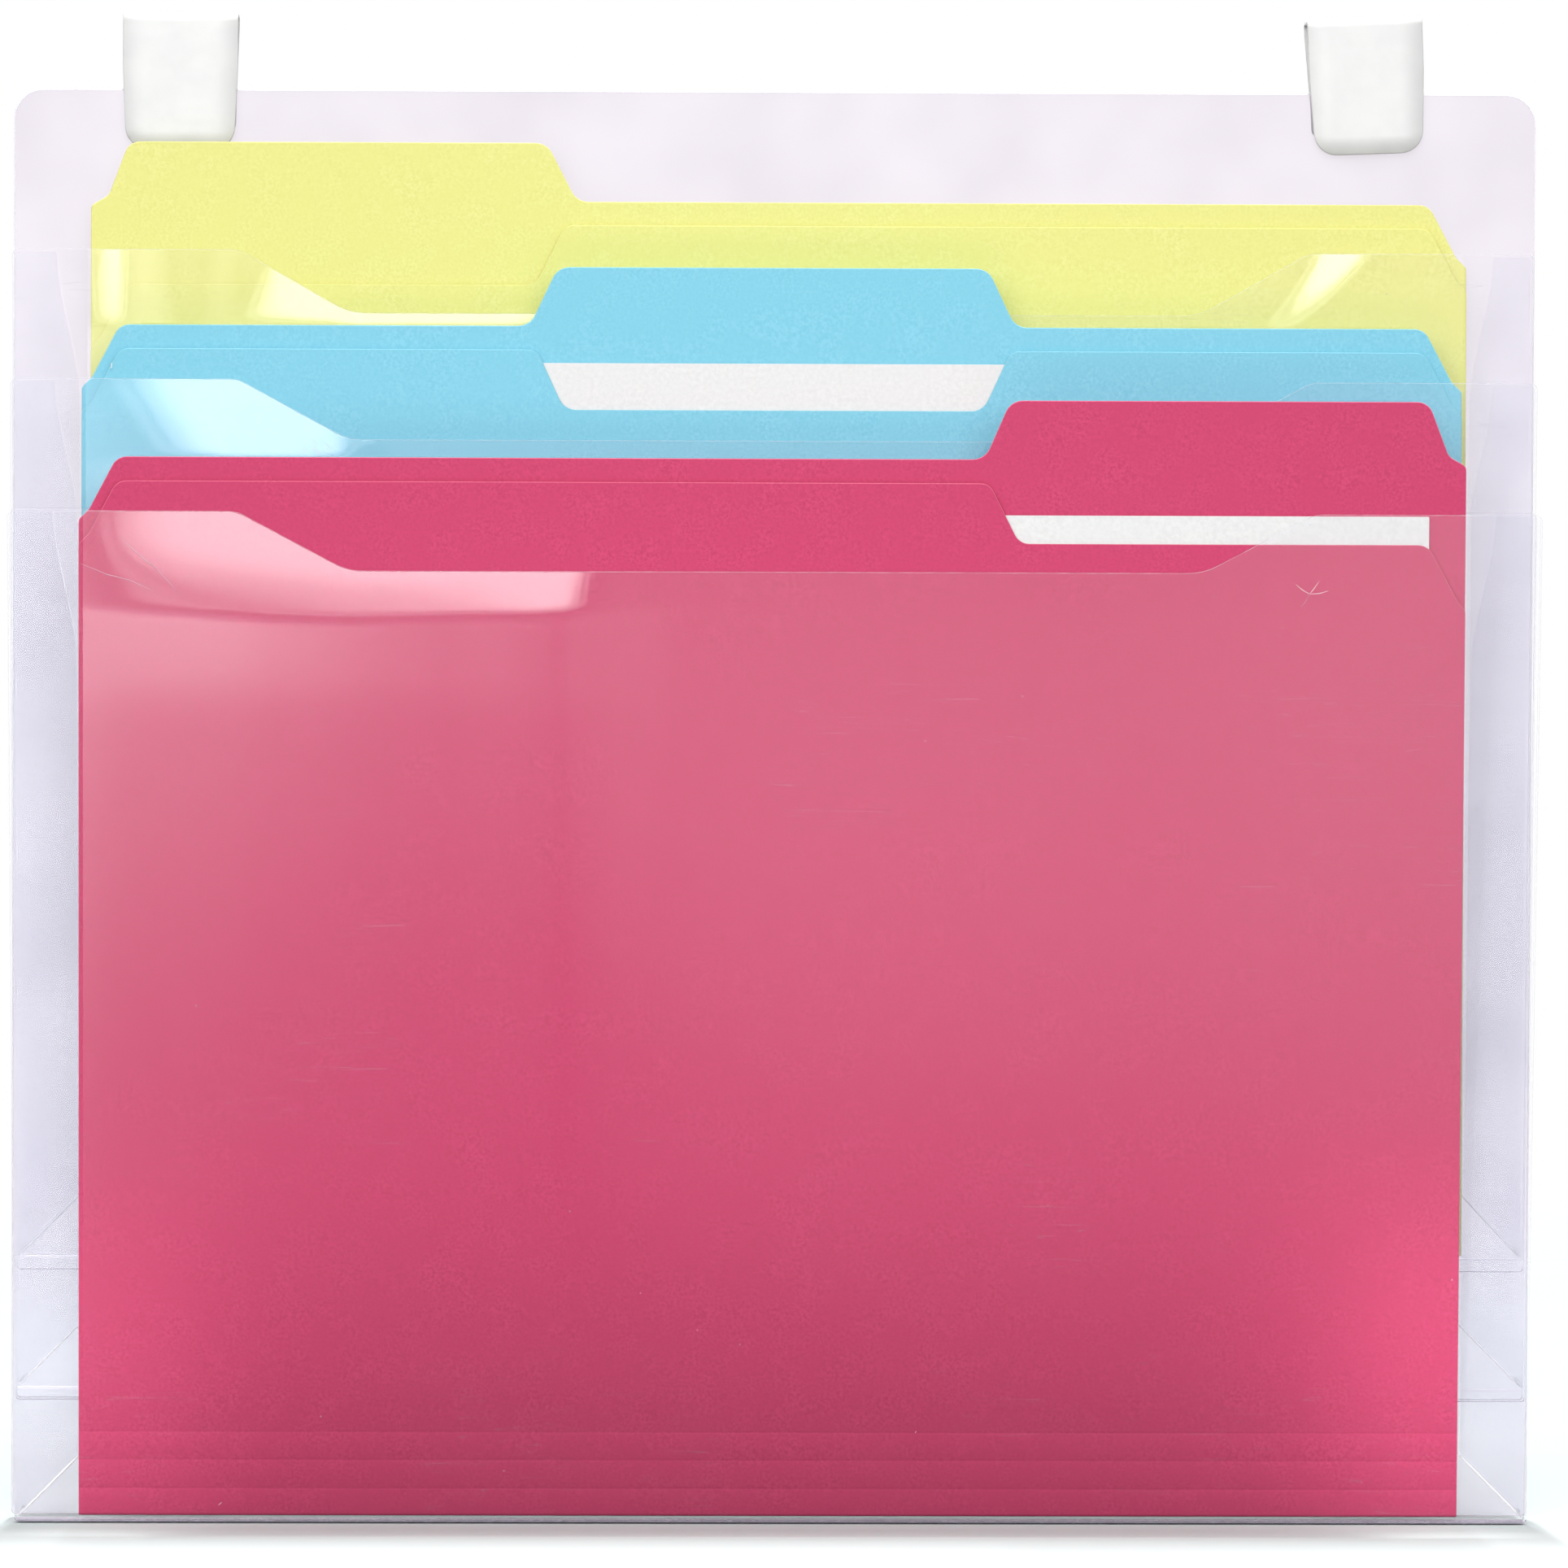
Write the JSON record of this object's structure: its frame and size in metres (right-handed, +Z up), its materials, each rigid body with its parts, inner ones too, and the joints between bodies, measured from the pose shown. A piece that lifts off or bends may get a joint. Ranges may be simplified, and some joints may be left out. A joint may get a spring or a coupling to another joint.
{
  "type": "wall pocket organizer",
  "caption": "Translucent letter-size wall organizer with cascading gusseted pockets, spring hangers that hook over a partition, and tabbed folders with paper that lift out.",
  "frame": {"origin": "centre of the back panel's back face, which lies on the wall plane", "axes": "+X to the right as seen by the user, +Y into the wall, +Z up; the pockets face -Y"},
  "size_m": [0.3302, 0.0428, 0.3268],
  "materials": {
    "panel_plastic": "frosted translucent polypropylene sheet, fine matte grain",
    "pocket_plastic": "clear polypropylene sheet with a soft haze and a gentle gloss",
    "gusset_plastic": "thin clear polypropylene, stress-whitened along its creases",
    "hanger_plastic": "white semi-matte plastic strip",
    "adhesive_pad": "white double-sided foam tape",
    "card_yellow": "uncoated dyed card with fine fibre mottle",
    "card_blue": "uncoated dyed card with fine fibre mottle",
    "card_red": "uncoated dyed card with fine fibre mottle",
    "white_paper": "plain white copier paper"
  },
  "bodies": {
    "panel": {"back_panel": "panel_plastic", "hanger_left": "hanger_plastic", "hanger_right": "hanger_plastic", "hanger_pad_left": "adhesive_pad", "hanger_pad_right": "adhesive_pad", "pocket_floor_upper": "gusset_plastic", "gusset_upper_left": "gusset_plastic", "gusset_upper_right": "gusset_plastic"},
    "hook_leg_left": {"hanger_leg_left": "hanger_plastic"},
    "hook_leg_right": {"hanger_leg_right": "hanger_plastic"},
    "upper_front": {"pocket_front_upper": "pocket_plastic", "pocket_back_middle": "pocket_plastic", "pocket_floor_middle": "gusset_plastic", "gusset_middle_left": "gusset_plastic", "gusset_middle_right": "gusset_plastic"},
    "middle_front": {"pocket_front_middle": "pocket_plastic", "pocket_back_lower": "pocket_plastic", "pocket_floor_lower": "gusset_plastic", "gusset_lower_left": "gusset_plastic", "gusset_lower_right": "gusset_plastic"},
    "lower_front": {"pocket_front_lower": "pocket_plastic"},
    "yellow_folder": {"folder_yellow_back_leaf": "card_yellow", "folder_yellow_front_leaf": "card_yellow", "folder_yellow_fold": "card_yellow"},
    "blue_folder": {"folder_blue_back_leaf": "card_blue", "folder_blue_front_leaf": "card_blue", "folder_blue_fold": "card_blue"},
    "red_folder": {"folder_red_back_leaf": "card_red", "folder_red_front_leaf": "card_red", "folder_red_fold": "card_red"},
    "blue_paper": {"paper_blue": "white_paper"},
    "red_paper": {"paper_red": "white_paper"}
  },
  "joints": [
    {"name": "hook_flex_left", "type": "hinge", "parent": "panel", "child": "hook_leg_left", "pos_m": [-0.129, 0.00725, 0.17105], "axis": [1, 0, 0], "range_deg": [0, 18], "stiffness_Nm_per_rad": 0.25, "springref_deg": -5.73},
    {"name": "hook_flex_right", "type": "hinge", "parent": "panel", "child": "hook_leg_right", "pos_m": [0.129, 0.00725, 0.17105], "axis": [1, 0, 0], "range_deg": [0, 18], "stiffness_Nm_per_rad": 0.25, "springref_deg": -5.73},
    {"name": "upper_pocket_open", "type": "hinge", "parent": "panel", "child": "upper_front", "pos_m": [0, -0.0058, -0.099], "axis": [1, 0, 0], "range_deg": [0, 5], "stiffness_Nm_per_rad": 0.6, "springref_deg": -11.46, "deforming": ["gusset_upper_left", "gusset_upper_right"]},
    {"name": "middle_pocket_open", "type": "hinge", "parent": "upper_front", "child": "middle_front", "pos_m": [0, -0.01162, -0.12708], "axis": [1, 0, 0], "range_deg": [0, 5], "stiffness_Nm_per_rad": 0.4, "springref_deg": -11.46, "deforming": ["gusset_middle_left", "gusset_middle_right"]},
    {"name": "lower_pocket_open", "type": "hinge", "parent": "middle_front", "child": "lower_front", "pos_m": [0, -0.01697, -0.15526], "axis": [1, 0, 0], "range_deg": [0, 3.8], "stiffness_Nm_per_rad": 0.2, "springref_deg": -11.46, "deforming": ["gusset_lower_left", "gusset_lower_right"]},
    {"name": "yellow_folder_lift", "type": "slide", "parent": "panel", "child": "yellow_folder", "axis": [0, -0.0137, 0.9999], "range_m": [0, 0.225]},
    {"name": "blue_folder_lift", "type": "slide", "parent": "upper_front", "child": "blue_folder", "axis": [0, -0.0301, 0.9995], "range_m": [0, 0.225]},
    {"name": "red_folder_lift", "type": "slide", "parent": "middle_front", "child": "red_folder", "axis": [0, -0.0711, 0.9975], "range_m": [0, 0.225]},
    {"name": "blue_paper_lift", "type": "slide", "parent": "blue_folder", "child": "blue_paper", "axis": [0, -0.0301, 0.9995], "range_m": [0, 0.21]},
    {"name": "red_paper_lift", "type": "slide", "parent": "red_folder", "child": "red_paper", "axis": [0, -0.0711, 0.9975], "range_m": [0, 0.21]}
  ]
}
